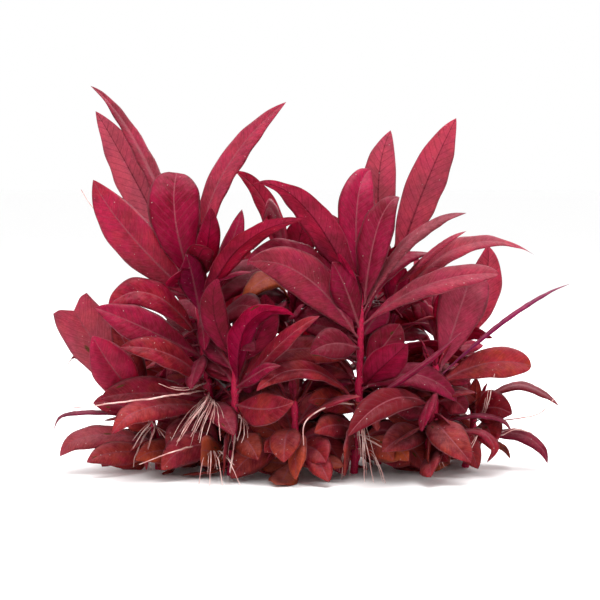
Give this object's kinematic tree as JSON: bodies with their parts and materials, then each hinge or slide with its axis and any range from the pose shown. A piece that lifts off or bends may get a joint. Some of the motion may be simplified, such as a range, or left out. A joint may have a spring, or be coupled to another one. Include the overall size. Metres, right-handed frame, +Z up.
{
  "type": "red aquarium plant",
  "caption": "Bushy red aquarium plant: lance-shaped leaves in crossed pairs on upright stems that are cut off flat at the ground.",
  "frame": {"origin": "middle of the bush's footprint, at the ground where its stems are cut", "axes": "+X along the bush's width to the viewer's right, +Y away from the viewer, +Z up along the stems"},
  "size_m": [0.2566, 0.15, 0.1925],
  "materials": {
    "leaf": "satin",
    "stem": "satin"
  },
  "bodies": {
    "root": {"leaf_centre_tall_1": "leaf", "leaf_centre_tall_10": "leaf", "leaf_centre_tall_11": "leaf", "leaf_centre_tall_12": "leaf", "leaf_centre_tall_2": "leaf", "leaf_centre_tall_3": "leaf", "leaf_centre_tall_4": "leaf", "leaf_centre_tall_5": "leaf", "leaf_centre_tall_6": "leaf", "leaf_centre_tall_7": "leaf", "leaf_centre_tall_9": "leaf", "leaf_left_back_1": "leaf", "leaf_left_back_2": "leaf", "leaf_left_back_3": "leaf", "leaf_left_back_4": "leaf", "leaf_left_inner_1": "leaf", "leaf_left_inner_2": "leaf", "leaf_left_inner_3": "leaf", "leaf_left_inner_4": "leaf", "leaf_left_low_1": "leaf", "leaf_left_low_2": "leaf", "leaf_left_tall_1": "leaf", "leaf_left_tall_10": "leaf", "leaf_left_tall_2": "leaf", "leaf_left_tall_3": "leaf", "leaf_left_tall_4": "leaf", "leaf_left_tall_5": "leaf", "leaf_left_tall_6": "leaf", "leaf_left_tall_7": "leaf", "leaf_left_tall_8": "leaf", "leaf_left_tall_9": "leaf", "leaf_middle_back_1": "leaf", "leaf_middle_back_5": "leaf", "leaf_middle_front_1": "leaf", "leaf_middle_front_2": "leaf", "leaf_right_back_1": "leaf", "leaf_right_back_2": "leaf", "leaf_right_back_3": "leaf", "leaf_right_back_4": "leaf", "leaf_right_front_1": "leaf", "leaf_right_front_2": "leaf", "leaf_right_front_3": "leaf", "leaf_right_front_4": "leaf", "leaf_right_front_5": "leaf", "leaf_right_low_1": "leaf", "leaf_right_low_4": "leaf", "leaf_right_tall_1": "leaf", "leaf_right_tall_2": "leaf", "leaf_right_tall_3": "leaf", "stem_centre_tall": "stem", "stem_left_back": "stem", "stem_left_inner": "stem", "stem_left_low": "stem", "stem_left_tall": "stem", "stem_middle_back": "stem", "stem_middle_front": "stem", "stem_right_back": "stem", "stem_right_front": "stem", "stem_right_low": "stem", "stem_right_tall": "stem"}
  },
  "joints": []
}
